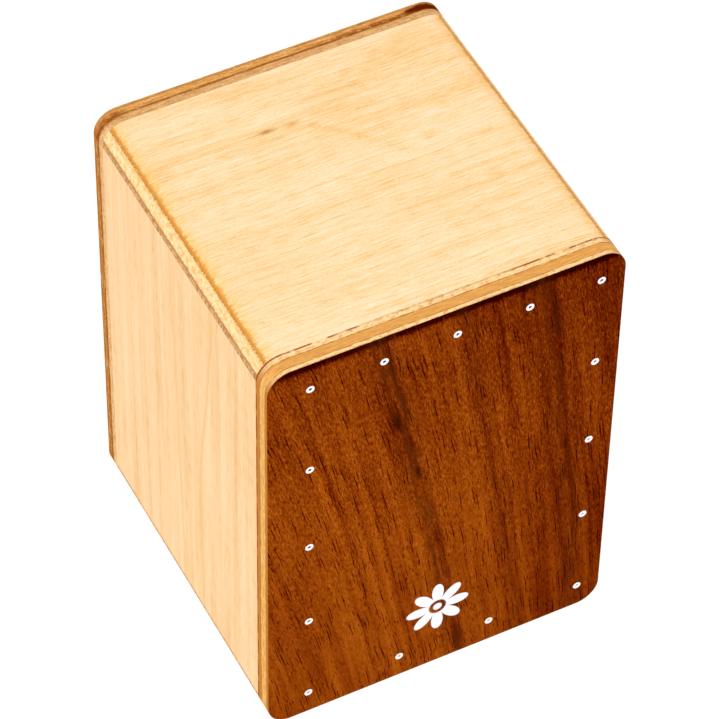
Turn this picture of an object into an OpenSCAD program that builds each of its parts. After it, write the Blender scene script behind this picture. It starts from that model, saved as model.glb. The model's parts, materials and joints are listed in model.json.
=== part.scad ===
// A small wooden cajon: a glued plywood box with a screwed playing plate in front,
// a round sound hole in the back and a pair of short snares inside.
// Millimetres, +Z up. The playing plate faces -Y. The origin is on the floor, midway between the feet.

/* [Body] */
// Width of the box, side to side.
body_w = 140; // [136:1:150]
// Depth of the box, playing plate to back plate.
body_d = 142; // [136:1:150]
// Height of the wooden box without its feet.
body_h = 195; // [185:1:205]
// Radius of the four long edges that run from front to back.
edge_r = 9.2; // [7:0.1:11]
// Thickness of the side, top and bottom panels.
panel_t = 4; // [3.6:0.1:5]

/* [Plates] */
// Thickness of the plywood of the playing plate.
front_t = 8.8; // [8:0.1:10]
// Thickness of the dark face veneer on the playing plate.
veneer_t = 0.4; // [0.3:0.1:0.6]
// Thickness of the back plate.
back_t = 8; // [6:0.1:10]
// Diameter of the sound hole.
hole_d = 50; // [40:1:60]
// Height of the sound hole's centre, as a share of the box height.
hole_rise = 0.62; // [0.55:0.01:0.66]

/* [Inner frame] */
// Width of the battens behind the plates, across the plate.
batten_w = 14; // [13:0.5:16]
// Depth of the battens, away from the plate.
batten_d = 10; // [8:0.5:12]
// Leg of the triangular glue blocks along the long inner corners.
block_leg = 10; // [8:0.5:12]

/* [Plate screws] */
// Distance of the left screw column from the left side of the box.
screw_margin_left = 16.4; // [15:0.1:17]
// Distance of the right screw column from the right side of the box.
screw_margin_right = 9.4; // [8.4:0.1:11]
// Distance of the top screw row from the top of the box.
screw_margin_top = 12.6; // [11:0.1:14]
// Distance of the bottom screw row from the bottom of the box.
screw_margin_bottom = 11; // [10:0.1:14]
// Head diameter of a plate screw.
screw_head_d = 3.4; // [3.2:0.1:4]
// Shank diameter of a plate screw.
screw_d = 1.8; // [1.6:0.1:2]
// Length of a plate screw.
screw_len = 16; // [14:0.5:17]

/* [Snares] */
// Height of the snare bar's centre, as a share of the box height.
snare_rise = 0.5; // [0.45:0.01:0.55]
// Number of strands in each snare.
strand_count = 8; // [6:1:10]
// Outer diameter of one coiled strand.
strand_d = 1.4; // [1.2:0.1:1.5]
// Length of the strands between their clamp and their end plate.
strand_len = 58; // [50:1:64]
// Distance between the middles of neighbouring strands.
strand_pitch = 2.4; // [2.2:0.1:2.6]

/* [Feet] */
// Height of a rubber foot.
foot_h = 3; // [2.5:0.1:4]
// Diameter of a rubber foot.
foot_d = 12; // [10:0.5:14]
// Distance of a foot's centre from the side of the box.
foot_inset_x = 20; // [18:1:24]
// Distance of a foot's centre from the front or back of the box.
foot_inset_y = 24; // [22:1:28]

/* [Hidden] */
$fn = 48;
cut = 1;
plate_t = front_t + veneer_t;
front_y = -body_d / 2;
plate_back_y = front_y + plate_t;
back_y = body_d / 2 - back_t;
inner_w = body_w - 2 * panel_t;
floor_z = foot_h + panel_t;
ceiling_z = foot_h + body_h - panel_t;
inner_h = ceiling_z - floor_z;
hole_z = foot_h + body_h * hole_rise;

screw_head_h = (screw_head_d - screw_d) / 2;
screw_tip = 2;
pilot_len = screw_len + 0.4;
recess_wing_w = 0.45;
recess_span = 1.5;
recess_depth = 0.9;
recess_pit_d = 0.9;
recess_pit_depth = 1.1;
screw_left_x = -body_w / 2 + screw_margin_left;
screw_right_x = body_w / 2 - screw_margin_right;
screw_top_z = foot_h + body_h - screw_margin_top;
screw_bottom_z = foot_h + screw_margin_bottom;
rows = 4;
columns = 4;
bottom_columns = 3;
row_pitch = (screw_top_z - screw_bottom_z) / rows;
column_pitch = (screw_right_x - screw_left_x) / columns;
bottom_pitch = (screw_right_x - screw_left_x) / bottom_columns;
plate_screw_points = concat(
    [for (i = [0:columns]) [screw_left_x + i * column_pitch, screw_top_z]],
    [for (i = [1:rows - 1], x = [screw_left_x, screw_right_x]) [x, screw_bottom_z + i * row_pitch]],
    [for (i = [0:bottom_columns]) [screw_left_x + i * bottom_pitch, screw_bottom_z]]
);

bar_h = 16;
bar_d = 8;
bar_z = foot_h + body_h * snare_rise;
clamp_h = 9;
end_plate_h = 4;
tail_d = 0.6;
tail_grip = 3;
tail_bare = 1;
snare_gap = 0.1;
snare_inset = 5;
strand_y = plate_back_y + snare_gap + strand_d / 2;
bar_y = strand_y + strand_d / 2;
clamp_w = (strand_count + 3) * strand_pitch;
clamp_top_z = bar_z + clamp_h / 2;
end_plate_z = clamp_top_z + strand_len;
snare_x = inner_w / 2 - batten_w - snare_inset - clamp_w / 2;
snare_screw_x = (strand_count + 1) / 2 * strand_pitch;
snare_screw_head_d = 2;
snare_screw_d = 1.2;
snare_screw_head_h = 0.4;
snare_screw_len = 7;
snare_slot_w = 0.5;

foot_x = body_w / 2 - foot_inset_x;
foot_y = body_d / 2 - foot_inset_y;
foot_screw_head_d = 5;
foot_screw_d = 2.6;
foot_screw_head_h = (foot_screw_head_d - foot_screw_d) / 2;
foot_screw_sink = 0.5;
foot_screw_tip = 1.2;
foot_screw_cover = 0.6;
foot_screw_len = foot_h - foot_screw_sink + panel_t - foot_screw_cover;

birch = [0.93, 0.78, 0.56];
walnut = [0.42, 0.2, 0.06];
softwood = [0.86, 0.68, 0.44];
steel = [0.86, 0.86, 0.84];
rubber = [0.08, 0.08, 0.08];

// ---- outline and slices of the box ----

// The box seen from the front, with its bottom edge on the X axis.
module body_outline() {
    translate([-body_w / 2 + edge_r, 0])
        square([body_w - 2 * edge_r, body_h]);
    translate([-body_w / 2, edge_r])
        square([body_w, body_h - 2 * edge_r]);
    for (x = [-1, 1], z = [edge_r, body_h - edge_r])
        translate([x * (body_w / 2 - edge_r), z])
            circle(r = edge_r);
}

// A slice of the box from from_y back to from_y + thickness.
module body_slice(from_y, thickness) {
    translate([0, from_y + thickness, foot_h])
        rotate([90, 0, 0])
            linear_extrude(height = thickness)
                body_outline();
}

// A round bar along +Y that starts at the point at.
module bar_along_y(at, diameter, length) {
    translate(at)
        rotate([-90, 0, 0])
            cylinder(d = diameter, h = length);
}

// A countersunk screw along +Z, with its head's face at z = 0.
module screw_blank(head_d, head_h, shank_d, length, tip) {
    cylinder(d1 = head_d, d2 = shank_d, h = head_h);
    translate([0, 0, head_h])
        cylinder(d = shank_d, h = length - head_h - tip);
    translate([0, 0, length - tip])
        cylinder(d1 = shank_d, d2 = shank_d / 4, h = tip);
}

// ---- box panels ----

module side_panel(side) {
    slab_x = side < 0 ? -body_w / 2 : body_w / 2 - panel_t;
    color(birch)
        intersection() {
            body_slice(plate_back_y, back_y - plate_back_y);
            translate([slab_x, front_y, foot_h])
                cube([panel_t, body_d, body_h]);
        }
}

module left_side_panel() {
    side_panel(-1);
}

module right_side_panel() {
    side_panel(1);
}

// The part of the box between the side panels, from from_z up by one panel thickness.
module cross_panel(from_z) {
    intersection() {
        body_slice(plate_back_y, back_y - plate_back_y);
        translate([-inner_w / 2, front_y, from_z])
            cube([inner_w, body_d, panel_t]);
    }
}

module top_panel() {
    color(birch)
        cross_panel(ceiling_z);
}

module bottom_panel() {
    color(birch)
        difference() {
            cross_panel(foot_h);
            foot_screw_holes();
        }
}

// ---- plates ----

// Countersunk holes of the plate screws, through the plate and blind in the battens.
module plate_screw_holes() {
    for (p = plate_screw_points) {
        bar_along_y([p[0], front_y - cut, p[1]], screw_d, cut + pilot_len);
        translate([p[0], front_y, p[1]])
            rotate([-90, 0, 0])
                cylinder(d1 = screw_head_d, d2 = screw_d, h = screw_head_h);
    }
}

module front_veneer() {
    color(walnut)
        difference() {
            body_slice(front_y, veneer_t);
            plate_screw_holes();
        }
}

module front_plate() {
    color(birch)
        difference() {
            body_slice(front_y + veneer_t, front_t);
            plate_screw_holes();
        }
}

module back_plate() {
    color(birch)
        difference() {
            body_slice(back_y, back_t);
            bar_along_y([0, back_y - cut, hole_z], hole_d, back_t + 2 * cut);
        }
}

// ---- inner frames and glue blocks ----

// A batten that runs across the box, from from_y back by the batten depth.
module rail(from_y, from_z) {
    translate([-inner_w / 2, from_y, from_z])
        cube([inner_w, batten_d, batten_w]);
}

// An upright batten between the rails, on the side given by -1 or 1.
module stile(from_y, side) {
    from_x = side < 0 ? -inner_w / 2 : inner_w / 2 - batten_w;
    translate([from_x, from_y, floor_z + batten_w])
        cube([batten_w, batten_d, inner_h - 2 * batten_w]);
}

module front_rail_top() {
    color(softwood)
        difference() {
            rail(plate_back_y, ceiling_z - batten_w);
            plate_screw_holes();
        }
}

module front_rail_bottom() {
    color(softwood)
        difference() {
            rail(plate_back_y, floor_z);
            plate_screw_holes();
        }
}

module front_stile_left() {
    color(softwood)
        difference() {
            stile(plate_back_y, -1);
            plate_screw_holes();
        }
}

module front_stile_right() {
    color(softwood)
        difference() {
            stile(plate_back_y, 1);
            plate_screw_holes();
        }
}

module back_rail_top() {
    color(softwood)
        rail(back_y - batten_d, ceiling_z - batten_w);
}

module back_rail_bottom() {
    color(softwood)
        rail(back_y - batten_d, floor_z);
}

module back_stile_left() {
    color(softwood)
        stile(back_y - batten_d, -1);
}

module back_stile_right() {
    color(softwood)
        stile(back_y - batten_d, 1);
}

// A triangular block along an inner corner. side is -1 or 1 and rise is -1 for bottom or 1 for top.
module corner_block(side, rise) {
    block_from = plate_back_y + batten_d;
    block_to = back_y - batten_d;
    corner_z = rise < 0 ? floor_z : ceiling_z;
    color(softwood)
        translate([side * inner_w / 2, block_to, corner_z])
            rotate([90, 0, 0])
                linear_extrude(height = block_to - block_from)
                    polygon([[0, 0], [-side * block_leg, 0], [0, -rise * block_leg]]);
}

module corner_block_top_left() {
    corner_block(-1, 1);
}

module corner_block_top_right() {
    corner_block(1, 1);
}

module corner_block_bottom_left() {
    corner_block(-1, -1);
}

module corner_block_bottom_right() {
    corner_block(1, -1);
}

// ---- plate screws ----

// The cross recess of a screw whose head's face is at z = 0: two wings and a deeper pit.
module cross_recess() {
    for (turn = [0, 90])
        rotate([0, 0, turn])
            translate([-recess_span / 2, -recess_wing_w / 2, -cut])
                cube([recess_span, recess_wing_w, recess_depth + cut]);
    translate([0, 0, -cut])
        cylinder(d = recess_pit_d, h = recess_pit_depth + cut);
}

module plate_screw() {
    difference() {
        screw_blank(screw_head_d, screw_head_h, screw_d, screw_len, screw_tip);
        cross_recess();
    }
}

module front_plate_screws() {
    color(steel)
        for (p = plate_screw_points)
            translate([p[0], front_y, p[1]])
                rotate([-90, 0, 0])
                    plate_screw();
}

// ---- snares ----

// Moves its child sideways and back to the strands of one snare.
module at_snare(side) {
    translate([side * snare_x, strand_y, 0])
        children();
}

function strand_x(i) = (i - (strand_count - 1) / 2) * strand_pitch;

// The bores that hold the strands' tails in a plate.
module tail_bores(from_z, to_z) {
    for (i = [0:strand_count - 1])
        translate([strand_x(i), 0, from_z])
            cylinder(d = tail_d, h = to_z - from_z);
}

module snare_strands(side) {
    color(steel)
        at_snare(side)
            for (i = [0:strand_count - 1])
                translate([strand_x(i), 0, clamp_top_z])
                    strand();
}

// One strand: a coil with a straight tail at each end. It leaves its clamp at z = 0.
module strand() {
    translate([0, 0, -tail_grip])
        cylinder(d = tail_d, h = tail_grip + tail_bare);
    translate([0, 0, tail_bare])
        cylinder(d = strand_d, h = strand_len - 2 * tail_bare);
    translate([0, 0, strand_len - tail_bare])
        cylinder(d = tail_d, h = tail_bare + tail_grip);
}

module snare_clamp(side) {
    color(steel)
        at_snare(side)
            difference() {
                translate([-clamp_w / 2, -strand_d / 2, bar_z - clamp_h / 2])
                    cube([clamp_w, strand_d, clamp_h]);
                tail_bores(clamp_top_z - tail_grip, clamp_top_z + cut);
                snare_screw_places()
                    snare_screw_shape(0);
            }
}

module snare_end_plate(side) {
    color(steel)
        at_snare(side)
            difference() {
                translate([-clamp_w / 2, -strand_d / 2, end_plate_z])
                    cube([clamp_w, strand_d, end_plate_h]);
                tail_bores(end_plate_z - cut, end_plate_z + tail_grip);
            }
}

// Copies its child to the two screws of one clamp.
module snare_screw_places() {
    for (end = [-1, 1])
        translate([end * snare_screw_x, -strand_d / 2, bar_z])
            rotate([-90, 0, 0])
                children();
}

module snare_screw_shape(slot) {
    difference() {
        screw_blank(snare_screw_head_d, snare_screw_head_h, snare_screw_d, snare_screw_len, snare_screw_d);
        if (slot > 0)
            translate([-snare_screw_head_d, -slot / 2, -cut])
                cube([2 * snare_screw_head_d, slot, cut + snare_screw_head_h / 2]);
    }
}

module snare_bar() {
    stile_gap = inner_w - 2 * batten_w;
    color(softwood)
        difference() {
            translate([-stile_gap / 2, bar_y, bar_z - bar_h / 2])
                cube([stile_gap, bar_d, bar_h]);
            for (side = [-1, 1])
                at_snare(side)
                    snare_screw_places()
                        snare_screw_shape(0);
        }
}

module snare_screws() {
    color(steel)
        for (side = [-1, 1])
            at_snare(side)
                snare_screw_places()
                    snare_screw_shape(snare_slot_w);
}

module snare_clamp_left() {
    snare_clamp(-1);
}

module snare_clamp_right() {
    snare_clamp(1);
}

module snare_strands_left() {
    snare_strands(-1);
}

module snare_strands_right() {
    snare_strands(1);
}

module snare_end_plate_left() {
    snare_end_plate(-1);
}

module snare_end_plate_right() {
    snare_end_plate(1);
}

// ---- feet ----

module foot_screw_shape() {
    translate([0, 0, foot_screw_sink])
        screw_blank(foot_screw_head_d, foot_screw_head_h, foot_screw_d, foot_screw_len, foot_screw_tip);
}

// Copies its child to all four feet.
module at_feet() {
    for (x = [-foot_x, foot_x], y = [-foot_y, foot_y])
        translate([x, y, 0])
            children();
}

module foot_screw_holes() {
    at_feet()
        foot_screw_shape();
}

module foot(side_x, side_y) {
    color(rubber)
        translate([side_x * foot_x, side_y * foot_y, 0])
            difference() {
                cylinder(d = foot_d, h = foot_h);
                foot_screw_shape();
                translate([0, 0, -cut])
                    cylinder(d = foot_screw_head_d, h = cut + foot_screw_sink);
            }
}

module foot_front_left() {
    foot(-1, -1);
}

module foot_front_right() {
    foot(1, -1);
}

module foot_back_left() {
    foot(-1, 1);
}

module foot_back_right() {
    foot(1, 1);
}

module foot_screws() {
    color(steel)
        at_feet()
            difference() {
                foot_screw_shape();
                translate([0, 0, foot_screw_sink])
                    cross_recess();
            }
}

left_side_panel();
right_side_panel();
top_panel();
bottom_panel();
front_plate();
front_veneer();
back_plate();
front_rail_top();
front_rail_bottom();
front_stile_left();
front_stile_right();
back_rail_top();
back_rail_bottom();
back_stile_left();
back_stile_right();
corner_block_top_left();
corner_block_top_right();
corner_block_bottom_left();
corner_block_bottom_right();
front_plate_screws();
snare_bar();
snare_clamp_left();
snare_clamp_right();
snare_strands_left();
snare_strands_right();
snare_end_plate_left();
snare_end_plate_right();
snare_screws();
foot_front_left();
foot_front_right();
foot_back_left();
foot_back_right();
foot_screws();
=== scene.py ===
"""The looks of a small wooden cajon, built around its CAD frame. Metres, +Z up, playing plate facing -Y.

Sizes, materials and made pieces are worked out in millimetres. A material knows each place on the surface in
the frame's own axes, and lays grain, plies and marks on it there.
"""
import json
import math
import random

import bmesh
import bpy
from mathutils import Matrix, Vector


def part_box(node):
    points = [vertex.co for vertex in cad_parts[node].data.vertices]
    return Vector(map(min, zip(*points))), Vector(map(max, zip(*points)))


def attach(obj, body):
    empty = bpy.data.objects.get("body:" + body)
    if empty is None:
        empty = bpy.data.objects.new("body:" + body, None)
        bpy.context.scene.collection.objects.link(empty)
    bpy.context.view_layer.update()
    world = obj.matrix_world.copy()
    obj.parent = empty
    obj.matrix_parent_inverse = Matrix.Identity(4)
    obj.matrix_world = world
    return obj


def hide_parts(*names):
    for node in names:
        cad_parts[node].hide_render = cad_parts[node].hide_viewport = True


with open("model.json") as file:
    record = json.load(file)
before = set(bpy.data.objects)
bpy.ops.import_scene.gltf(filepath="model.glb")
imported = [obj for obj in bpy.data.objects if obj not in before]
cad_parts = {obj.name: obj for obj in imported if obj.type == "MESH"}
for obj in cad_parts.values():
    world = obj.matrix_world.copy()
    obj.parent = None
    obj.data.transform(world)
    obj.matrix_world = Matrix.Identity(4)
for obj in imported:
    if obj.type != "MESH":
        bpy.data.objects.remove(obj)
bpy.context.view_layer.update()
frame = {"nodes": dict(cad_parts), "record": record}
nodes = frame["nodes"]

# one millimetre, in metres
MM = 0.001
# points closer than this many millimetres are taken as one
WELD_GAP = 0.001

# ---- sizes read from the frame, in millimetres ----


def node_box(name):
    """Lowest and highest corner of a CAD node, in millimetres."""
    low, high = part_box(name)
    return Vector(low) / MM, Vector(high) / MM


def corner_radius(name):
    """Radius of a CAD node's rounded corners as the front shows them, in millimetres."""
    points = [vert.co / MM for vert in nodes[name].data.vertices]
    top = max(point.z for point in points)
    flat_end = max(point.x for point in points if top - point.z < WELD_GAP)
    return round(max(point.x for point in points) - flat_end, 3)


def mount(name):
    """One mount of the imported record."""
    return next(entry for entry in frame["record"]["mounts"] if entry["name"] == name)


veneer_low, veneer_high = node_box("front_veneer")
back_low, back_high = node_box("back_plate")
side_low, side_high = node_box("left_side_panel")
sound_hole = mount("sound_hole_bore")

HALF_WIDTH = veneer_high.x
FRONT_Y = veneer_low.y
PLATE_BACK_Y = node_box("front_plate")[1].y
BACK_INNER_Y = back_low.y
BACK_Y = back_high.y
BASE_Z = veneer_low.z
TOP_Z = veneer_high.z
HEIGHT = TOP_Z - BASE_Z
HALF_HEIGHT = HEIGHT / 2
MIDDLE_Z = BASE_Z + HALF_HEIGHT
PANEL_T = side_high.x - side_low.x
EDGE_R = corner_radius("front_veneer")
HOLE_R = sound_hole["dims"]["r_mm"]
HOLE_Z = sound_hole["pos_m"][2] / MM

# ---- camera and light, in metres ----

CAMERA_TARGET = Vector((2.7, 0.0, 100.96)) * MM
CAMERA_DISTANCE = 1.5665
CAMERA_AZIMUTH = math.radians(27.88)
CAMERA_ELEVATION = math.radians(48.44)
CAMERA_ROLL = math.radians(1.12)
CAMERA_LENS = 211.42
CAMERA_SENSOR = 36.0
KEY_PLACE = Vector((-0.9, -1.65, 2.55))
KEY_AIM = Vector((0.0, 0.0, 0.1))
KEY_SIZE = 1.8
KEY_WATTS = 50
SKY_STRENGTH = 0.73
WHITE = (1, 1, 1, 1)


def make_camera():
    data = bpy.data.cameras.new("camera")
    data.lens = CAMERA_LENS
    data.sensor_width = CAMERA_SENSOR
    camera = bpy.data.objects.new("camera", data)
    bpy.context.scene.collection.objects.link(camera)
    level = math.cos(CAMERA_ELEVATION)
    x = -math.sin(CAMERA_AZIMUTH) * level
    y = -math.cos(CAMERA_AZIMUTH) * level
    outward = Vector((x, y, math.sin(CAMERA_ELEVATION)))
    turn = (-outward).to_track_quat("-Z", "Y").to_matrix().to_4x4()
    place = Matrix.Translation(CAMERA_TARGET + outward * CAMERA_DISTANCE)
    camera.matrix_world = place @ turn @ Matrix.Rotation(CAMERA_ROLL, 4, "Z")
    bpy.context.scene.camera = camera


def make_key_light():
    """A large soft light from the upper left of the playing plate."""
    data = bpy.data.lights.new("key_light", "AREA")
    data.shape = "SQUARE"
    data.size = KEY_SIZE
    data.energy = KEY_WATTS
    light = bpy.data.objects.new("key_light", data)
    light.location = KEY_PLACE
    light.rotation_mode = "QUATERNION"
    light.rotation_quaternion = (KEY_AIM - KEY_PLACE).to_track_quat("-Z", "Y")
    bpy.context.scene.collection.objects.link(light)


def make_sky():
    """Even white light from all round."""
    world = bpy.data.worlds.new("studio")
    world.use_nodes = True
    sky = world.node_tree.nodes["Background"]
    sky.inputs["Color"].default_value = WHITE
    sky.inputs["Strength"].default_value = SKY_STRENGTH
    bpy.context.scene.world = world
    bpy.context.scene.view_settings.view_transform = "Standard"


# ---- a small language for material nodes ----


def linear(rgb):
    """An 8-bit screen colour as the linear colour that nodes use, by the sRGB curve."""
    shares = [c / 255 for c in rgb]
    return tuple(s / 12.92 if s <= 0.04045 else ((s + 0.055) / 1.055) ** 2.4 for s in shares) + (1.0,)


class Value:
    """A number that varies over a surface. Arithmetic on it adds Math nodes."""

    def __init__(self, graph, socket):
        self.graph = graph
        self.socket = socket

    def apply(self, operation, *others):
        return self.graph.apply(operation, self, *others)

    def __add__(self, other):
        return self.apply("ADD", other)

    def __sub__(self, other):
        return self.apply("SUBTRACT", other)

    def __mul__(self, other):
        return self.apply("MULTIPLY", other)

    def __truediv__(self, other):
        return self.apply("DIVIDE", other)

    def __rsub__(self, other):
        return self.graph.apply("SUBTRACT", other, self)

    __radd__ = __add__

    def abs(self):
        return self.apply("ABSOLUTE")

    def power(self, exponent):
        return self.apply("POWER", exponent)

    def clamp(self):
        node = self.graph.add("ShaderNodeClamp")
        self.graph.connect(node.inputs[0], self)
        return Value(self.graph, node.outputs[0])

    def ramp(self, low, high):
        """0 up to low, 1 from high on, and smooth between. high may be below low."""
        node = self.graph.add("ShaderNodeMapRange")
        node.interpolation_type = "SMOOTHSTEP"
        self.graph.connect(node.inputs["Value"], self)
        self.graph.connect(node.inputs["From Min"], min(low, high))
        self.graph.connect(node.inputs["From Max"], max(low, high))
        self.graph.connect(node.inputs["To Min"], 0.0 if low < high else 1.0)
        self.graph.connect(node.inputs["To Max"], 1.0 if low < high else 0.0)
        return Value(self.graph, node.outputs["Result"])

    def band(self, centre, half, soft):
        """1 within half of centre, falling to 0 over soft."""
        return (self - centre).abs().ramp(half + soft, half)

    def bell(self, centre, width):
        """A smooth hump of about that half width."""
        distance = (self - centre) / width
        return (distance * distance * -1).apply("EXPONENT")


class Graph:
    """The node tree of one material, whose surface places are in millimetres."""

    def __init__(self, name):
        self.material = bpy.data.materials.new(name)
        self.material.use_nodes = True
        self.tree = self.material.node_tree
        self.shader = self.tree.nodes["Principled BSDF"]
        coordinates = self.add("ShaderNodeTexCoord")
        self.x, self.y, self.z = [metres * (1 / MM) for metres in self.split(coordinates.outputs["Object"])]
        self.nx, self.ny, self.nz = self.split(coordinates.outputs["Normal"])

    def add(self, kind):
        return self.tree.nodes.new(kind)

    def connect(self, socket, value):
        """Joins a socket to a Value or another socket, or sets it to a number or colour."""
        if isinstance(value, Value):
            self.tree.links.new(value.socket, socket)
        elif isinstance(value, bpy.types.NodeSocket):
            self.tree.links.new(value, socket)
        else:
            socket.default_value = value

    def split(self, vector):
        node = self.add("ShaderNodeSeparateXYZ")
        self.tree.links.new(vector, node.inputs[0])
        return [Value(self, output) for output in node.outputs]

    def vector(self, x, y, z):
        node = self.add("ShaderNodeCombineXYZ")
        for socket, value in zip(node.inputs, (x, y, z)):
            self.connect(socket, value)
        return node.outputs[0]

    def apply(self, operation, *values):
        node = self.add("ShaderNodeMath")
        node.operation = operation
        for socket, value in zip(node.inputs, values):
            self.connect(socket, value)
        return Value(self, node.outputs[0])

    def noise(self, x, y, z=0.0, detail=2.0, roughness=0.5):
        """Smooth noise about 0.5, with one feature per unit. A number given as z works as a seed."""
        node = self.add("ShaderNodeTexNoise")
        self.connect(node.inputs["Vector"], self.vector(x, y, z))
        node.inputs["Scale"].default_value = 1.0
        node.inputs["Detail"].default_value = detail
        node.inputs["Roughness"].default_value = roughness
        return Value(self, node.outputs[0])

    def cells(self, x, y, seed=0.0):
        """Scattered points, one per unit: the distance to the nearest, and a random number of its own."""
        node = self.add("ShaderNodeTexVoronoi")
        node.voronoi_dimensions = "2D"
        self.connect(node.inputs["Vector"], self.vector(x + seed, y + seed, 0.0))
        node.inputs["Scale"].default_value = 1.0
        lots = self.split(node.outputs["Color"])
        return Value(self, node.outputs["Distance"]), lots[0]

    def mix(self, share, first, second):
        """A colour that goes from first to second. Colours are 8-bit screen colours or sockets."""
        node = self.add("ShaderNodeMix")
        node.data_type = "RGBA"
        self.connect(node.inputs[0], share)
        for socket, colour in ((node.inputs[6], first), (node.inputs[7], second)):
            self.connect(socket, linear(colour) if isinstance(colour, tuple) else colour)
        return node.outputs[2]

    def tones(self, share, stops):
        """A colour from a ramp of (share, 8-bit screen colour) stops."""
        node = self.add("ShaderNodeValToRGB")
        elements = node.color_ramp.elements
        while len(elements) < len(stops):
            elements.new(0.5)
        for element, (place, colour) in zip(elements, stops):
            element.position = place
            element.color = linear(colour)
        self.connect(node.inputs[0], share)
        return node.outputs[0]

    def finish(self, colour, roughness, height=None, depth=0.1, sheen=0.07):
        """Sets the surface's colour, roughness and relief. depth is the relief's height in millimetres."""
        self.connect(self.shader.inputs["Base Color"], colour)
        self.connect(self.shader.inputs["Roughness"], roughness)
        self.shader.inputs["Specular IOR Level"].default_value = sheen
        if height is not None:
            bump = self.add("ShaderNodeBump")
            bump.inputs["Strength"].default_value = 1.0
            bump.inputs["Distance"].default_value = depth * MM
            self.connect(bump.inputs["Height"], height)
            self.tree.links.new(bump.outputs["Normal"], self.shader.inputs["Normal"])
        return self.material


def swing(noise, amount):
    """A noise about 0.5 as a change of up to about amount either way."""
    return (noise - 0.5) * (2 * amount)


def hump(off_x, off_y):
    """1 where both offsets are 0, falling smoothly towards 0 as they pass 1."""
    return ((off_x * off_x + off_y * off_y) * -1).apply("EXPONENT")


# ---- wood ----
# Grain is noise stretched along the fibres. The factors on the places inside noise() and cells() are features
# per millimetre, places and widths are millimetres, and the other factors are shares of a tone or a colour.

BIRCH_TOP = ((0.0, (226, 171, 92)), (0.3, (244, 198, 134)), (0.55, (252, 216, 168)), (1.0, (255, 238, 212)))
BIRCH_SIDE = ((0.0, (230, 170, 100)), (0.3, (244, 196, 134)), (0.55, (251, 209, 154)), (1.0, (255, 224, 180)))
# pin knots of the top: place across and from the middle to the back, half length and half width in
# millimetres, how solid, how ragged, and colour
KNOTS = (
    (-18.0, 35.5, 3.4, 1.0, 0.7, 0.6, (196, 138, 62)),
    (-8.0, 35.2, 2.8, 1.1, 0.35, 0.8, (224, 166, 80)),
)
BIRCH_ROUGHNESS = 0.5
PLATE_ROUGHNESS = 0.6


def birch_tone(g, along, across, seed):
    """How pale birch is at each place, about 0.5, with its grain along one direction; and its relief."""
    cloud = g.noise(along * 0.014, across * 0.045, seed)
    band = g.noise(along * 0.009, across * 0.33, seed + 3, detail=3)
    fibre = g.noise(along * 0.035, across * 1.1, seed + 5, detail=4, roughness=0.7)
    hair = g.noise(along * 0.16, across * 2.4, seed + 9, roughness=0.6)
    tone = swing(cloud, 0.26) + swing(band, 0.3) + swing(fibre, 0.52) + swing(hair, 0.46) + 0.53
    flecks, lot = g.cells(along * 0.085, across * 1.25, seed)
    dash = flecks.ramp(0.36, 0.1) * lot.ramp(0.6, 0.8)
    return tone - dash * 0.26, fibre * 0.6 + hair * 0.4


def top_face(g):
    """The flat of the top: grain across the width, a curved growth mark and two small pin knots."""
    sway = swing(g.noise(g.x * 0.02, g.y * 0.03, 2.0, detail=1), 2.0)
    tone, relief = birch_tone(g, g.x, g.y + sway, seed=11.0)
    halo = hump((g.x + 14) / 26, (g.y - 34) / 8)
    rough = g.noise(g.x * 0.4, g.y * 0.9, 17.0, detail=3, roughness=0.7)
    sweep_y = g.y - 35 + g.x.ramp(-12.0, 40.0) * 38 + swing(rough, 2.0)
    sweep = sweep_y.bell(0.0, 2.6) * g.x.bell(8.0, 22.0) * rough.ramp(0.35, 0.6)
    tail = (g.y + swing(rough, 1.0)).bell(2.0, 1.4) * g.x.bell(51.0, 9.0)
    warm = g.noise(g.x * 0.03, g.y * 0.07, 61.0).ramp(0.4, 0.7) * g.y.ramp(-20.0, 60.0)
    grain = g.noise(g.x * 0.9, g.y * 1.7, 27.0, detail=3, roughness=0.75)
    tone = (tone - 0.5) * 0.85 + 0.5
    tone = tone + swing(grain, 0.4) - halo * 0.08 - sweep * 0.2 - tail * 0.2 - warm * 0.12
    colour = g.tones(tone.clamp(), BIRCH_TOP)
    for knot_x, knot_y, length, width, solid, ragged, shade in KNOTS:
        knot = hump((g.x - knot_x) / length, (g.y - knot_y) / width)
        colour = g.mix(knot * (rough * ragged + solid), colour, shade)
    return colour, relief


def top_birch():
    """The top and bottom panels, whose face ply is sanded through at both ends."""
    g = Graph("top_birch")
    colour, relief = top_face(g)
    ragged = swing(g.noise(g.y * 0.7, g.x * 0.5, 3.0, detail=4, roughness=0.8), 1.4)
    fray = g.noise(g.y * 0.8, g.x * 0.3, 13.0, detail=5, roughness=0.85)
    to_end = HALF_WIDTH - PANEL_T - g.x.abs() + ragged * 0.8
    glow = to_end.ramp(5.5, 0.2) * (fray.ramp(0.58, 0.42) * 0.8 + 0.2)
    core = (to_end + swing(fray, 2.0)).ramp(1.2, -0.1)
    colour = g.mix(glow * 0.85, colour, (246, 190, 92))
    colour = g.mix(core * 0.85, colour, (216, 146, 52))
    return g.finish(colour, roughness=BIRCH_ROUGHNESS - relief * 0.1, height=relief, depth=0.05)


def growth_line(g, centre, width):
    """A thin, slightly wandering, upright line on a side panel."""
    wander = swing(g.noise(g.z * 0.04, centre * 0.01, 5.0), 1.5)
    return (g.y + wander - centre).bell(0.0, width)


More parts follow.
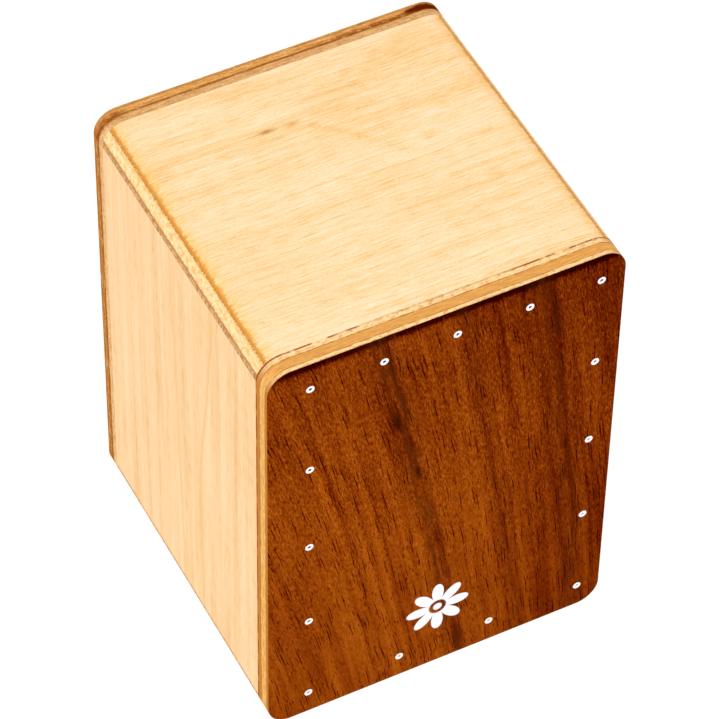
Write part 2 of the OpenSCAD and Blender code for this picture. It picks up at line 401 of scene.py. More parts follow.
def side_face(g):
    """The flat of a side: upright grain, two leaning growth lines, and short dashes near the front."""
    rise = g.z - BASE_Z
    length = g.z + g.x.apply("SIGN") * 60
    tone, relief = birch_tone(g, length, g.y, seed=31.0)
    bands = g.noise(length * 0.006, g.y * 0.17, 35.0)
    tone = (tone - 0.5) * 0.75 + swing(bands, 0.42) + 0.49
    near_line = growth_line(g, rise * 0.04, 0.9)
    far_line = growth_line(g, rise.ramp(70.0, HEIGHT) * -12 - 15, 1.1)
    colour = g.tones(tone.clamp(), BIRCH_SIDE)
    colour = g.mix((near_line * 0.6 + far_line * 0.75).clamp(), colour, (244, 190, 118))
    dashes, lot = g.cells(g.z * 0.09, g.y * 1.1, 7.0)
    front_dashes = dashes.ramp(0.3, 0.1) * lot.ramp(0.5, 0.8) * g.y.ramp(-35.0, -58.0)
    return g.mix(front_dashes * 0.7, colour, (232, 170, 84)), relief


def rounded_plies(g):
    """A side panel's plies, cut through where its long edges are rounded."""
    depth = HALF_WIDTH - g.x.abs()
    wander = swing(g.noise(g.y * 0.12, 0.0, 7.0, detail=4, roughness=0.7), 0.25)
    fray = g.noise(g.y * 1.1, depth, 8.0, detail=4, roughness=0.8)
    grain = g.noise(g.y * 0.3, depth * 2, 3.0, detail=4, roughness=0.7)
    mottle = g.noise(g.y * 0.45, depth, 4.0, detail=5, roughness=0.85)
    nicks = g.noise(g.y * 0.8, depth * 3, 14.0, detail=4, roughness=0.8)
    bent = depth + wander * depth.ramp(0.0, 1.5) + (fray - 0.5) * depth.ramp(0.0, 0.6) * 0.8
    face_ply = g.mix(nicks.ramp(0.42, 0.6), (228, 180, 118), (168, 108, 52))
    core = g.mix(mottle.ramp(0.45, 0.58) * 0.75, (255, 226, 172), (232, 168, 82))
    core = g.mix(grain.ramp(0.5, 0.75) * 0.4, core, (238, 180, 98))
    colour = g.mix(bent.ramp(0.22, 0.32), face_ply, (192, 128, 62))
    colour = g.mix(bent.ramp(0.36, 0.7), colour, core)
    heart = (bent + swing(fray, 1.0)).ramp(2.1, 3.5)
    colour = g.mix(heart * 0.6, colour, (236, 172, 80))
    inner_ply = (bent + swing(fray, 0.9)).ramp(2.8, 3.6)
    colour = g.mix(inner_ply * 0.95, colour, (216, 142, 50))
    glue = (bent + swing(fray, 0.45)).band(3.25, 0.1, 0.2) * fray.ramp(0.35, 0.55)
    return g.mix(glue * 0.7, colour, (158, 86, 18))


def side_birch():
    """The side panels."""
    g = Graph("side_birch")
    face, relief = side_face(g)
    rounded = g.nz.abs().ramp(0.01, 0.06)
    colour = g.mix(rounded, face, rounded_plies(g))
    return g.finish(colour, roughness=BIRCH_ROUGHNESS - relief * 0.1, height=relief, depth=0.05)


def ply_edge(g, depth, layers):
    """Plies at a plate's edge. Each has a start, a colour for level edges and a colour for upright edges."""
    upright = g.nx * g.nx
    colour = None
    for start, level_tone, upright_tone in layers:
        tone = g.mix(upright, level_tone, upright_tone)
        colour = tone if colour is None else g.mix(depth.ramp(start - 0.08, start + 0.08), colour, tone)
    return colour


def edge_texture(g, depth, colour, streak_tone, streak, fleck_tone, fleck):
    """Lays long streaks and short flecks along a plate's edge, by shares. Gives the colour and the flecks."""
    along = g.x + g.z
    fibre = g.noise(along * 0.13, depth * 1.2, 1.0, detail=5, roughness=0.75)
    flecks = g.noise(along * 0.45, depth * 0.9, 9.0, detail=4, roughness=0.8)
    colour = g.mix(fibre.ramp(0.48, 0.64) * streak, colour, streak_tone)
    return g.mix(flecks.ramp(0.47, 0.62) * fleck, colour, fleck_tone), flecks


def back_seam(g):
    """The broken dark line where the playing plate meets the box: a dark joint line, with painted shade in
    its open stretches. 1 where it is open.
    """
    gaps = g.noise(g.x * 0.1, g.z * 0.1, 4.0, detail=4, roughness=0.6)
    line = (g.y - PLATE_BACK_Y + swing(gaps, 0.25)).band(-0.5, 0.2, 0.3)
    open_part = g.x.abs().ramp(22.0, 36.0) * 0.6 + 0.4
    return line * gaps.ramp(0.4, 0.5) * open_part


def plate_plywood():
    """The playing plate's core: three plies whose edges show all round, and a birch back."""
    g = Graph("plate_plywood")
    wander = swing(g.noise(g.x * 0.08, g.z * 0.08, 5.0, detail=3), 0.3)
    depth = g.y - FRONT_Y + wander
    front_glue = 2.1
    rear_glue = 6.3
    layers = [
        (0.0, (254, 216, 156), (190, 120, 56)),
        (front_glue, (230, 170, 94), (250, 198, 118)),
        (rear_glue, (254, 218, 160), (198, 128, 58)),
    ]
    colour = ply_edge(g, depth, layers)
    middle_ply = depth.band((front_glue + rear_glue) / 2, 1.9, 0.3)
    fleck_share = 0.75 - middle_ply * 0.35
    colour, flecks = edge_texture(g, depth, colour, (206, 138, 64), 0.5, (210, 138, 60), fleck_share)
    strands = g.noise((g.x + g.z) * 0.16, depth * 1.7, 39.0, detail=4, roughness=0.75)
    colour = g.mix(middle_ply * strands.ramp(0.46, 0.58) * 0.6, colour, (204, 132, 56))
    breaks = g.noise(g.x * 0.3 + g.z * 0.3, depth * 0.3, 33.0, detail=3, roughness=0.7)
    glue = depth.band(front_glue, 0.1, 0.2) + depth.band(rear_glue - 0.05, 0.12, 0.25)
    colour = g.mix(glue * breaks.ramp(0.3, 0.55) * 0.85, colour, (178, 106, 40))
    front_line = depth.band(0.5, 0.08, 0.2) * breaks.ramp(0.42, 0.56)
    colour = g.mix(front_line * 0.7, colour, (190, 116, 50))
    # the seam: a dark joint line, with painted shade where it stands open
    colour = g.mix(back_seam(g) * 0.9, colour, (146, 68, 16))
    face_tone = birch_tone(g, g.z, g.x, seed=71.0)[0]
    colour = g.mix(g.ny.ramp(0.6, 0.9), colour, g.tones(face_tone.clamp(), BIRCH_SIDE))
    return g.finish(colour, roughness=PLATE_ROUGHNESS, height=flecks, depth=0.04, sheen=0.0)


def scorched(g, depth, colour):
    """Burns the back plate's top edge: a line along it, a dark right corner and a stained left corner."""
    smear = g.noise(g.x * 0.3, g.z * 0.3, depth * 0.7, detail=4, roughness=0.75)
    rough_depth = depth + swing(smear, 1.3)
    line = rough_depth.band(3.7, 0.5, 0.9) * g.x.ramp(0.0, 40.0) * smear.ramp(0.36, 0.52)
    colour = g.mix(line * 0.85, colour, (142, 68, 10))
    off_x = (g.x - (HALF_WIDTH - EDGE_R * 0.85) + swing(smear, 4.0)) / (EDGE_R * 0.9)
    off_depth = (rough_depth - 2.9) / 1.6
    right_corner = (off_x * off_x + off_depth * off_depth).ramp(1.5, 0.3)
    right_corner = right_corner * g.z.ramp(TOP_Z - EDGE_R, TOP_Z - EDGE_R / 2)
    colour = g.mix(right_corner * 0.97, colour, (92, 20, 0))
    left_corner = (g.x + HALF_WIDTH).ramp(EDGE_R * 1.5, EDGE_R * 0.8)
    left_corner = left_corner * g.z.ramp(TOP_Z - EDGE_R * 1.2, TOP_Z - EDGE_R)
    stain = rough_depth.band(3.9, 1.1, 1.1) * smear.ramp(0.36, 0.56)
    return g.mix(left_corner * stain * 0.85, colour, (146, 74, 18))


def back_plywood():
    """The back plate: pale face with the grain upright, and plies at its scorched edge."""
    g = Graph("back_plywood")
    wander = swing(g.noise(g.x * 0.06, g.z * 0.06, 15.0, detail=3), 0.45)
    depth = BACK_Y - g.y + wander
    outer_glue = 1.1
    middle_glue = 4.4
    inner_glue = 5.4
    layers = [
        (0.0, (214, 156, 86), (214, 158, 96)),
        (outer_glue, (224, 158, 80), (184, 108, 34)),
        (middle_glue, (216, 164, 102), (222, 160, 86)),
        (inner_glue, (218, 168, 112), (246, 202, 148)),
    ]
    colour = ply_edge(g, depth, layers)
    colour, flecks = edge_texture(g, depth, colour, (166, 100, 40), 0.75, (190, 124, 54), 0.55)
    pale_fibre = g.noise((g.x + g.z) * 0.13, depth * 1.1, 49.0, detail=5, roughness=0.8)
    colour = g.mix(pale_fibre.ramp(0.5, 0.62) * 0.75, colour, (242, 194, 130))
    grit = g.noise((g.x + g.z) * 0.7, depth * 0.9, 45.0, detail=4, roughness=0.9)
    colour = g.mix(grit.ramp(0.52, 0.64) * 0.6, colour, (168, 104, 44))
    colour = g.mix(grit.ramp(0.48, 0.36) * 0.5, colour, (244, 196, 128))
    breaks = g.noise(g.x * 0.2 + g.z * 0.2, depth * 0.3, 43.0, detail=3, roughness=0.7)
    glue = depth.band(outer_glue, 0.15, 0.35) * 0.5 + depth.band(middle_glue, 0.25, 0.4)
    colour = g.mix(glue * breaks.ramp(0.25, 0.5) * 0.85, colour, (144, 74, 18))
    colour = scorched(g, depth, colour)
    face_tone, relief = birch_tone(g, g.z, g.x, seed=51.0)
    colour = g.mix(g.ny.ramp(0.6, 0.9), colour, g.tones(face_tone.clamp(), BIRCH_SIDE))
    height = relief * 0.5 + flecks * 0.5
    return g.finish(colour, roughness=PLATE_ROUGHNESS, height=height, depth=0.05, sheen=0.0)


def softwood():
    """Planed battens inside the box."""
    g = Graph("softwood")
    length = g.x + g.z
    ring = g.noise(length * 0.02, g.y * 0.8, g.x * 0.05, detail=3)
    line = g.noise(length * 0.05, g.y * 3, g.x * 0.2, detail=3)
    colour = g.mix(ring.ramp(0.35, 0.7), (232, 190, 130), (205, 150, 88))
    colour = g.mix(line.ramp(0.5, 0.75) * 0.5, colour, (178, 118, 60))
    return g.finish(colour, roughness=0.7, height=line, depth=0.08)


# ---- dark veneer ----

VENEER_TONES = (
    (0.0, (42, 1, 0)),
    (0.15, (66, 7, 0)),
    (0.3, (92, 23, 1)),
    (0.42, (115, 42, 3)),
    (0.55, (142, 63, 7)),
    (0.75, (176, 91, 18)),
    (1.0, (216, 138, 54)),
)
# streaks: place across the grain and half width in millimetres, how dark, and how smoky
STREAKS = (
    (-6.0, 1.6, 0.09, 0.0),
    (-7.5, 4.5, 0.08, 0.5),
    (52.5, 1.4, 0.08, 0.0),
    (50.0, 5.0, 0.06, 0.3),
    (-39.0, 0.8, 0.13, 0.0),
    (-26.0, 0.6, 0.12, 0.0),
    (22.0, 3.0, 0.04, 0.2),
    (33.0, 0.8, 0.12, 0.0),
)
SMOKE = (88, 40, 8)
# dark spots: place, height above the middle, half width and half length in millimetres, and strength
SPOTS = (
    (-19.0, 50.0, 1.5, 5.0, 0.4),
    (-13.0, 36.0, 1.1, 4.0, 0.24),
    (-10.0, 19.0, 0.5, 2.5, 0.5),
    (-2.0, -24.0, 1.3, 7.0, 0.2),
    (9.0, -86.0, 1.8, 8.0, 0.24),
)
# how far the grain moves to the left for each millimetre that it rises
GRAIN_LEAN = 0.178
ROSETTE_RISE = 32.5
ROSETTE_R = 13.0
PRINT_WHITE = (240, 240, 246)


def rosette(g):
    """A printed ornament low in the middle: eight petals round a dot. 1 where the paint is."""
    up = g.z - (BASE_Z + ROSETTE_RISE)
    distance = (g.x * g.x + up * up).power(0.5) / ROSETTE_R
    petal = (up.apply("ARCTAN2", g.x) * 4).apply("COSINE").abs()
    edge = 0.02
    dot_end = 0.14
    petal_start = 0.26
    waist = 0.34
    rim = petal.power(0.8) * (1 - waist) + waist
    petals = (distance - rim).ramp(edge, -edge) * distance.ramp(petal_start, petal_start + 2 * edge)
    dot = distance.ramp(dot_end + edge, dot_end - edge)
    return (petals + dot).clamp()


def grain_place(g, rise):
    """The place across the leaning, drifting grain of the veneer."""
    drift = swing(g.noise(g.x * 0.015, g.z * 0.014, 8.0, detail=1), 2.0)
    ripple = swing(g.noise(g.x * 0.12, g.z * 0.06, 18.0, detail=1), 0.8)
    return g.x + (GRAIN_LEAN - g.x * 0.0012) * rise + drift + ripple


def veneer_streaks(g, across, rise, fine):
    """How much darker streaks and spots make the veneer, and how smoky."""
    breakup = g.noise(across * 0.4, rise * 0.06, 12.0, detail=4, roughness=0.65).ramp(0.4, 0.66)
    dark = 0.0
    smoke = 0.0
    for centre, width, darkness, smokiness in STREAKS:
        streak = across.bell(centre, width)
        dark = dark + streak * (breakup * darkness + darkness * 0.2)
        smoke = smoke + streak * (breakup * smokiness + smokiness * 0.3)
    for spot_x, spot_rise, half_width, half_length, strength in SPOTS:
        off_across = (across - (spot_x + spot_rise * GRAIN_LEAN)) / half_width
        off_along = (rise - spot_rise) / half_length
        dark = dark + hump(off_across, off_along) * (fine * strength + strength * 0.5)
    return dark, smoke


def veneer_pores(g, across, rise):
    """Long beaded pores everywhere, and short dashes that are densest low on the left. 1 inside one."""
    beads = g.noise(across, rise * 0.55, 14.0).ramp(0.35, 0.5) * 0.6 + 0.4
    long_cell, long_lot = g.cells(across * 0.75, rise * 0.032)
    pores = long_cell.ramp(0.24, 0.08) * long_lot.ramp(0.3, 0.7) * beads
    short_cell, short_lot = g.cells(across * 0.9, rise * 0.16, 5.0)
    low_left = (rise + g.x * 0.5).ramp(60.0, -50.0) * 0.7 + 0.3
    dashes = short_cell.ramp(0.26, 0.08) * short_lot.ramp(0.6, 0.9) * low_left
    return pores, dashes


def dark_veneer():
    """The playing face: red-brown open-pored veneer with dark streaks, and a printed rosette."""
    g = Graph("dark_veneer")
    rise = g.z - MIDDLE_Z
    across = grain_place(g, rise)
    broad = g.noise(across * 0.06, rise * 0.012, 1.0)
    lines = g.noise(across * 0.3, rise * 0.009, 2.0, detail=3, roughness=0.6)
    fine = g.noise(across * 1.6, rise * 0.25, 3.0, roughness=0.6)
    curl = swing(g.noise(g.x * 0.9, g.z * 0.5, 24.0, detail=1), 0.4)
    hair = g.noise((across + curl) * 2.3, rise * 0.42, 4.0, detail=3, roughness=0.75)
    mottle = g.noise(g.x * 0.1, g.z * 0.1, 6.0)
    crisp = rise.ramp(-80.0, 30.0) * 0.5 + 0.6
    tone = swing(broad, 0.12) + swing(lines, 0.24) + swing(mottle, 0.05) + 0.548
    tone = tone + (swing(fine, 0.18) + swing(hair, 0.5)) * crisp
    # darker towards the top and towards the right
    tone = tone - rise.ramp(-20.0, HALF_HEIGHT) * 0.08 - g.x.ramp(10.0, 50.0) * 0.12
    dark, smoke = veneer_streaks(g, across, rise, fine)
    pores, dashes = veneer_pores(g, across, rise)
    tone = tone - dark - pores * 0.36 - dashes * 0.3
    # painted shade under the veneer's top edge: a ragged dark band a few millimetres deep, and a faint
    # darkening below it
    ragged = g.noise(g.x * 0.9, g.z * 0.4, 3.0, detail=4, roughness=0.75) * 3
    from_top = TOP_Z - g.z - ragged
    tone = tone - from_top.ramp(2.2, -0.6) * 0.42 - from_top.ramp(5.5, 1.0) * 0.06
    colour = g.mix(smoke.clamp(), g.tones(tone.clamp(), VENEER_TONES), SMOKE)
    colour = g.mix(rosette(g), colour, PRINT_WHITE)
    relief = hair * 0.4 + fine * 0.3 - pores * 0.8 - dashes * 0.8
    return g.finish(colour, roughness=0.55 + fine * 0.15, height=relief, depth=0.06, sheen=0.0)


# ---- metal, rubber and floor ----

# painted shade in the screw heads' cross recesses: dark brown high on the left, paler low and right
RECESS_SHADE_TONE = (104, 56, 34)
RECESS_PALE_SHADE_TONE = (214, 206, 208)
FLOOR_GLOW = 0.86


def steel(name, tone, metallic, roughness, scratch, recess=False):
    """Bright metal with faint turning marks. Recesses in the front face get painted shade, dark brown high on
    the left and paler low and right.
    """
    g = Graph(name)
    marks = g.noise(g.x * scratch, g.z * scratch, g.y * scratch, detail=3)
    colour = g.mix(marks.ramp(0.3, 0.7), tone, tuple(int(c * 0.94) for c in tone))
    if recess:
        # painted shade in the recesses, fading from high left to low right
        shade_fades = (g.x - g.z + TOP_Z).ramp(20.0, 210.0)
        inside = g.mix(shade_fades, RECESS_SHADE_TONE, RECESS_PALE_SHADE_TONE)
        colour = g.mix((g.y - FRONT_Y).ramp(0.1, 0.3), colour, inside)
    g.shader.inputs["Metallic"].default_value = metallic
    return g.finish(colour, roughness=roughness + marks * 0.1, height=marks, depth=0.01, sheen=0.5)


def rubber():
    """The feet's dull black rubber."""
    g = Graph("foot_rubber")
    speck = g.noise(g.x * 2, g.y * 2, g.z * 2, detail=3)
    colour = g.mix(speck.ramp(0.4, 0.7), (24, 24, 25), (42, 42, 43))
    return g.finish(colour, roughness=0.75 + speck * 0.15, height=speck, depth=0.05)


def pale_floor():
    """A table lit from below, so that shadows on it stay faint."""
    g = Graph("pale_floor")
    speck = g.noise(g.x * 0.02, g.y * 0.02)
    colour = g.mix(speck.ramp(0.3, 0.7), (134, 134, 134), (140, 140, 140))
    g.shader.inputs["Emission Color"].default_value = WHITE
    g.shader.inputs["Emission Strength"].default_value = FLOOR_GLOW
    return g.finish(colour, roughness=0.8, sheen=0.0)


# ---- pieces ----

CREASE = math.radians(35)


def dress(names, material, arris=0.0):
    """Gives CAD nodes their material, and softens their sharp edges by arris millimetres."""
    for name in names:
        piece = nodes[name]
        piece.data.materials.clear()
        piece.data.materials.append(material)
        if arris > 0:
            weld = piece.modifiers.new("weld", "WELD")
            weld.merge_threshold = WELD_GAP * MM
            soften = piece.modifiers.new("arris", "BEVEL")
            soften.width = arris * MM
            soften.segments = 2
            soften.limit_method = "ANGLE"
            soften.angle_limit = CREASE
            soften.harden_normals = True


def reachable(vert, left):
    """All vertices joined to one by edges. They are taken out of the set left."""
    reached = [vert]
    for joined in reached:
        for edge in joined.link_edges:
            other = edge.other_vert(joined)
            if other in left:
                left.remove(other)
                reached.append(other)
    return reached


def islands(name):
    """Lowest and highest corners, in millimetres, of each solid in a CAD node, from left to right."""
    bm = bmesh.new()
    bm.from_mesh(nodes[name].data)
    bmesh.ops.remove_doubles(bm, verts=bm.verts, dist=WELD_GAP * MM)
    left = set(bm.verts)
    boxes = []
    while left:
        corners = [vert.co / MM for vert in reachable(left.pop(), left)]
        low = Vector([min(corner[axis] for corner in corners) for axis in range(3)])
        high = Vector([max(corner[axis] for corner in corners) for axis in range(3)])
        boxes.append((low, high))
    bm.free()
    return sorted(boxes, key=lambda box: (round(box[0].x, 2), round(box[0].z, 2)))


def stand_for(piece, slot, *replaced):
    """Puts a made piece on the only body, and hides the CAD nodes that it stands for."""
    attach(piece, "root")
    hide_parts(*replaced)


def stand_in(name, bm, material, slot, *replaced):
    """Makes a piece that stands for CAD nodes, from a mesh in millimetres. Creased edges stay crisp."""
    bmesh.ops.remove_doubles(bm, verts=bm.verts, dist=WELD_GAP / 10)
    bmesh.ops.recalc_face_normals(bm, faces=bm.faces)
    bmesh.ops.scale(bm, vec=(MM, MM, MM), verts=bm.verts)
    for edge in bm.edges:
        edge.smooth = edge.calc_face_angle(0.0) < CREASE
    for face in bm.faces:
        face.smooth = True
    data = bpy.data.meshes.new(name)
    bm.to_mesh(data)
    bm.free()
    data.materials.append(material)
    piece = bpy.data.objects.new(name, data)
    bpy.context.scene.collection.objects.link(piece)
    shading = piece.modifiers.new("flat_faces", "WEIGHTED_NORMAL")
    shading.keep_sharp = True
    stand_for(piece, slot, *replaced)


def skin(bm, loops, closed_ends=True):
    """Joins loops of equally many points with quads. Caps both ends, or else joins the last to the first."""
    rings = [[bm.verts.new(point) for point in loop] for loop in loops]
    if closed_ends:
        bm.faces.new(rings[0])
        bm.faces.new(rings[-1])
    else:
        rings.append(rings[0])
    for ring, following in zip(rings, rings[1:]):
        for i in range(len(ring)):
            j = (i + 1) % len(ring)
            bm.faces.new((ring[i], ring[j], following[j], following[i]))


def rounding(radius, steps):
    """(inset, drop) pairs that round an edge over: from the side, radius below the face, up to the face."""
    angles = [math.pi / 2 * i / steps for i in range(steps + 1)]
    return [(radius * (1 - math.cos(angle)), radius * (1 - math.sin(angle))) for angle in angles]


# ---- back plate ----

CORNER_STEPS = 14
EDGE_STEPS = 24
# the corners' sides in X and Z, turning from +X towards +Z
QUARTERS = ((1, 1), (-1, 1), (-1, -1), (1, -1))


def corner_arcs(inset, y):
    """The four rounded corners of the box at depth y, drawn in by inset."""
    reach = EDGE_R - inset
    points = []
    for quarter, (side, rise) in enumerate(QUARTERS):
        corner_x = side * (HALF_WIDTH - EDGE_R)
        corner_z = MIDDLE_Z + rise * (HALF_HEIGHT - EDGE_R)
        for i in range(CORNER_STEPS + 1):
            turn = math.pi / 2 * (quarter + i / CORNER_STEPS)
            x = corner_x + reach * math.cos(turn)
            z = corner_z + reach * math.sin(turn)
            points.append(Vector((x, y, z)))
    return points


def body_outline(inset, y):
    """The box's outline at depth y, drawn in by inset, with points along its straight stretches too."""
    corners = corner_arcs(inset, y)
    outline = []
    for i, point in enumerate(corners):
        outline.append(point)
        following = corners[(i + 1) % len(corners)]
        if (following - point).length > EDGE_R:
            outline += [point.lerp(following, share / EDGE_STEPS) for share in range(1, EDGE_STEPS)]
    return outline


def hole_loop(outline, radius, y):
    """A circle round the sound hole's middle, with one point at the bearing of each point of the outline."""
    points = []
    for corner in outline:
        bearing = math.atan2(corner.z - HOLE_Z, corner.x)
        points.append(Vector((radius * math.cos(bearing), y, HOLE_Z + radius * math.sin(bearing))))
    return points


def back_plate_piece(material):
    """The back plate, with its outer edge softened and its sound hole rounded over towards the outside."""
    inner_arris = 0.02
    outer_arris = 0.5
    hole_round = 1.6
    rim = body_outline(0.0, BACK_Y)
    loops = []
    for inset, drop in reversed(rounding(inner_arris, 2)):
        loops.append(body_outline(inset, BACK_INNER_Y + drop))
    for inset, drop in rounding(outer_arris, 4):
        loops.append(body_outline(inset, BACK_Y - drop))
    for inset, drop in reversed(rounding(hole_round, 6)):
        loops.append(hole_loop(rim, HOLE_R + inset, BACK_Y - drop))
    loops.append(hole_loop(rim, HOLE_R, BACK_INNER_Y))
    bm = bmesh.new()
    skin(bm, loops, closed_ends=False)
    stand_in("back_plate_board", bm, material, "back_plywood", "back_plate")


# ---- plate screws ----

head_low, head_high = islands("front_plate_screws")[0]
HEAD_D = round(head_high.x - head_low.x, 3)
SHANK_D = 1.8
HEAD_RIM = 0.18
HEAD_STEPS = 48
# slopes round the head's rim, from flat to upright
RIM_ANGLES = (0.0, 0.5, 1.0, math.pi / 2)
# rings of points on the head, as shares of its radius
HEAD_RINGS = (0.03, 0.07, 0.11, 0.15, 0.19, 0.23, 0.28, 0.34, 0.4, 0.46, 0.52, 0.6, 0.7, 0.8)
# the cross recess: two crossed wings with sloping walls, and a pit in the middle
WING_WIDTH = HEAD_D * 0.14
WING_SPAN = HEAD_D * 0.42
WING_SIDE_SLOPE = WING_WIDTH * 0.25
WING_END_SLOPE = WING_SPAN * 0.22
RECESS_DEPTH = HEAD_D * 0.24
PIT_R = HEAD_D * 0.19
PIT_SLOPE = PIT_R / 4


def held(value):
    """A number held between 0 and 1."""
    return min(1.0, max(0.0, value))


def recess_depth(reach, angle):
    """How deep a screw's cross recess is at a distance and angle from the middle of the head."""
    x = abs(reach * math.cos(angle))
    z = abs(reach * math.sin(angle))
    share = held((PIT_R - reach) / PIT_SLOPE)
    for along, across in ((x, z), (z, x)):
        side = held((WING_WIDTH / 2 - across) / WING_SIDE_SLOPE)
        end = held((WING_SPAN / 2 - along) / WING_END_SLOPE)
        share = max(share, min(side, end))
    return share * RECESS_DEPTH


def screw_mesh(bm, low, high, turn):
    """A countersunk screw along +Y in its CAD box, with a rounded rim and a turned cross recess."""
    middle = (low + high) / 2
    radius = HEAD_D / 2
    length = high.y - low.y
    shank_start = (HEAD_D - SHANK_D) / 2 + HEAD_RIM
    angles = [2 * math.pi * i / HEAD_STEPS for i in range(HEAD_STEPS)]
    rings = []
    for share in HEAD_RINGS:
        rings.append((share * radius, [recess_depth(share * radius, angle) for angle in angles]))
    profile = []
    for slope in RIM_ANGLES:
        profile.append((radius - HEAD_RIM + HEAD_RIM * math.sin(slope), HEAD_RIM * (1 - math.cos(slope))))
    profile += [(SHANK_D / 2, shank_start), (SHANK_D / 2, length - SHANK_D), (SHANK_D / 8, length)]
    rings += [(reach, [drop] * HEAD_STEPS) for reach, drop in profile]
    loops = []
    for reach, drops in rings:
        loop = []
        for angle, drop in zip(angles, drops):
            x = middle.x + reach * math.cos(angle + turn)
            z = middle.z + reach * math.sin(angle + turn)
            loop.append(Vector((x, low.y + drop, z)))
        loops.append(loop)
    skin(bm, loops)


def plate_screws(material):
    """The playing plate's screws, each with its recess turned at random."""
    bm = bmesh.new()
    for low, high in islands("front_plate_screws"):
        screw_mesh(bm, low, high, random.uniform(0.0, math.pi / 2))
    stand_in("plate_screw_set", bm, material, "screw_steel", "front_plate_screws")


# ---- feet ----

FOOT_STEPS = 64
FOOT_RIM_STEPS = 6


def turned(bm, profile, centre):
    """Sweeps a profile of (radius, height) points round an upright line."""
    loops = []
    for radius, height in profile:
        loop = []
        for i in range(FOOT_STEPS):
            angle = 2 * math.pi * i / FOOT_STEPS
            x = centre.x + radius * math.cos(angle)
            y = centre.y + radius * math.sin(angle)
            loop.append(Vector((x, y, height)))
        loops.append(loop)
    skin(bm, loops)


def rubber_foot(name, material):
    """A rubber foot with a rounded rim, a moulded groove and a sunk seat for its screw."""
    low, high = node_box(name)
    radius = (high.x - low.x) / 2
    height = high.z - low.z
    chamfer = 0.25
    waist = radius * 0.985
    rim = height * 0.35
    seat_r = 2.5
    seat_rim = 0.3
    seat_floor = height * 0.45
    dimple_r = 0.3
    dimple_floor = height * 0.5
    groove_in = seat_r + 1.2
    groove_out = seat_r + 1.9
    groove_depth = 0.15
    profile = [(radius - chamfer, high.z), (radius, high.z - chamfer), (waist, low.z + rim)]
    for i in range(1, FOOT_RIM_STEPS + 1):
        angle = math.pi / 2 * i / FOOT_RIM_STEPS
        profile.append((waist - rim + rim * math.cos(angle), low.z + rim - rim * math.sin(angle)))
    profile += [(groove_out, low.z), (groove_out - groove_depth, low.z + groove_depth)]
    profile += [(groove_in + groove_depth, low.z + groove_depth), (groove_in, low.z)]
    profile += [(seat_r + seat_rim, low.z), (seat_r, low.z + seat_rim), (seat_r, low.z + seat_floor)]
    profile += [(dimple_r, low.z + dimple_floor)]
    bm = bmesh.new()
    turned(bm, profile, (low + high) / 2)
    stand_in(name + "_rubber", bm, material, "foot_rubber", name)


# ---- snares ----

WIRE_R = 0.16
COIL_PITCH = 0.8
COIL_STEPS = 12
COIL_TAIL = 3.5


def coil_points(low, high):
    """Points of one coiled wire in its CAD box: a straight tail, a helix from a random start, and a tail."""
    middle = (low + high) / 2
    coil_r = (high.x - low.x) / 2 - WIRE_R
    turns = (high.z - low.z - 2 * COIL_TAIL) / COIL_PITCH
    start = random.uniform(0.0, 2 * math.pi)
    points = [Vector((middle.x, middle.y, low.z))]
    for i in range(int(turns * COIL_STEPS) + 1):
        angle = start + 2 * math.pi * i / COIL_STEPS
        x = middle.x + coil_r * math.cos(angle)
        y = middle.y + coil_r * math.sin(angle)
        points.append(Vector((x, y, low.z + COIL_TAIL + COIL_PITCH * i / COIL_STEPS)))
    points.append(Vector((middle.x, middle.y, high.z)))
    return points


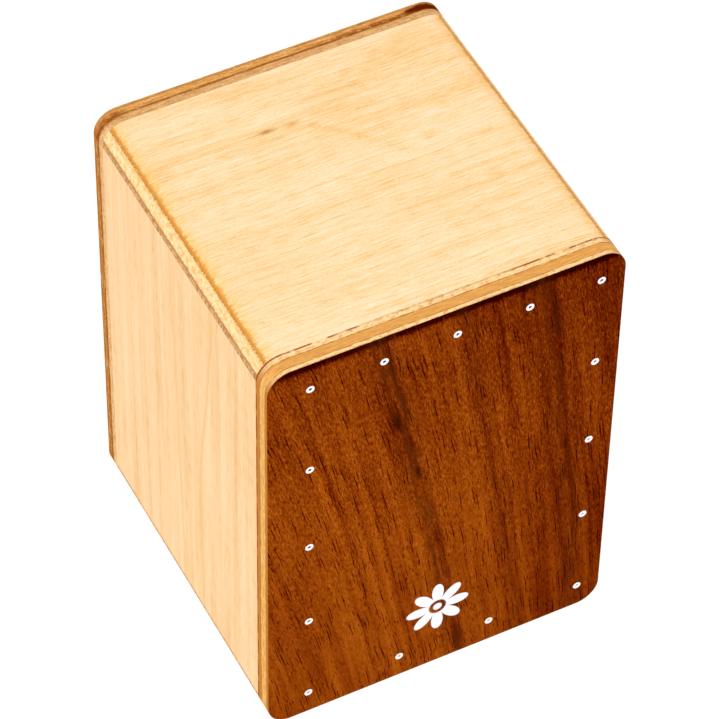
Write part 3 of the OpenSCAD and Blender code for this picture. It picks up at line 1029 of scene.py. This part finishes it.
def snare_coils(name, material):
    """The coiled wires of one snare, each in the space of its CAD strand."""
    data = bpy.data.curves.new(name + "_coils", "CURVE")
    data.dimensions = "3D"
    data.bevel_depth = WIRE_R * MM
    data.bevel_resolution = 1
    data.use_fill_caps = True
    for low, high in islands(name):
        points = coil_points(low, high)
        spline = data.splines.new("POLY")
        spline.points.add(len(points) - 1)
        for point, place in zip(spline.points, points):
            point.co = (*(place * MM), 1.0)
    data.materials.append(material)
    piece = bpy.data.objects.new(name + "_coils", data)
    bpy.context.scene.collection.objects.link(piece)
    stand_for(piece, "snare_steel", name)


# ---- the whole object ----

BATTEN_WORDS = ("rail", "stile", "block", "snare_bar")
SNARE_METAL_WORDS = ("clamp", "end_plate")
FEET = ("foot_back_left", "foot_back_right", "foot_front_left", "foot_front_right")
BATTEN_ARRIS = 0.4
METAL_ARRIS = 0.15


def named_with(words):
    """CAD nodes whose name has one of the words in it."""
    return [name for name in nodes if any(word in name for word in words)]


def dress_cad_nodes(screw_metal, snare_metal):
    dress(["top_panel", "bottom_panel"], top_birch())
    dress(["left_side_panel", "right_side_panel"], side_birch())
    dress(["front_plate"], plate_plywood())
    dress(["front_veneer"], dark_veneer())
    dress(named_with(BATTEN_WORDS), softwood(), BATTEN_ARRIS)
    dress(["snare_screws", "foot_screws"], screw_metal)
    dress(named_with(SNARE_METAL_WORDS), snare_metal, METAL_ARRIS)


def build():
    head_metal = steel("head_nickel", (255, 255, 255), metallic=0.3, roughness=0.3, scratch=3.0, recess=True)
    screw_metal = steel("screw_nickel", (240, 240, 236), metallic=1.0, roughness=0.25, scratch=3.0)
    snare_metal = steel("snare_steel", (214, 214, 210), metallic=1.0, roughness=0.3, scratch=2.0)
    dress_cad_nodes(screw_metal, snare_metal)
    back_plate_piece(back_plywood())
    plate_screws(head_metal)
    foot_rubber = rubber()
    for name in FEET:
        rubber_foot(name, foot_rubber)
    for name in ("snare_strands_left", "snare_strands_right"):
        snare_coils(name, snare_metal)


# ---- floor ----

FLOOR_SIZE = 6000.0
FLOOR_GAP = 0.05


def make_floor():
    """A plain floor, a hair below the feet."""
    bm = bmesh.new()
    bmesh.ops.create_grid(bm, x_segments=1, y_segments=1, size=FLOOR_SIZE / 2 * MM)
    data = bpy.data.meshes.new("floor")
    bm.to_mesh(data)
    bm.free()
    data.materials.append(pale_floor())
    floor = bpy.data.objects.new("floor", data)
    floor.location.z = -FLOOR_GAP * MM
    bpy.context.scene.collection.objects.link(floor)


random.seed(7)
make_camera()
make_key_light()
make_sky()
build()
make_floor()
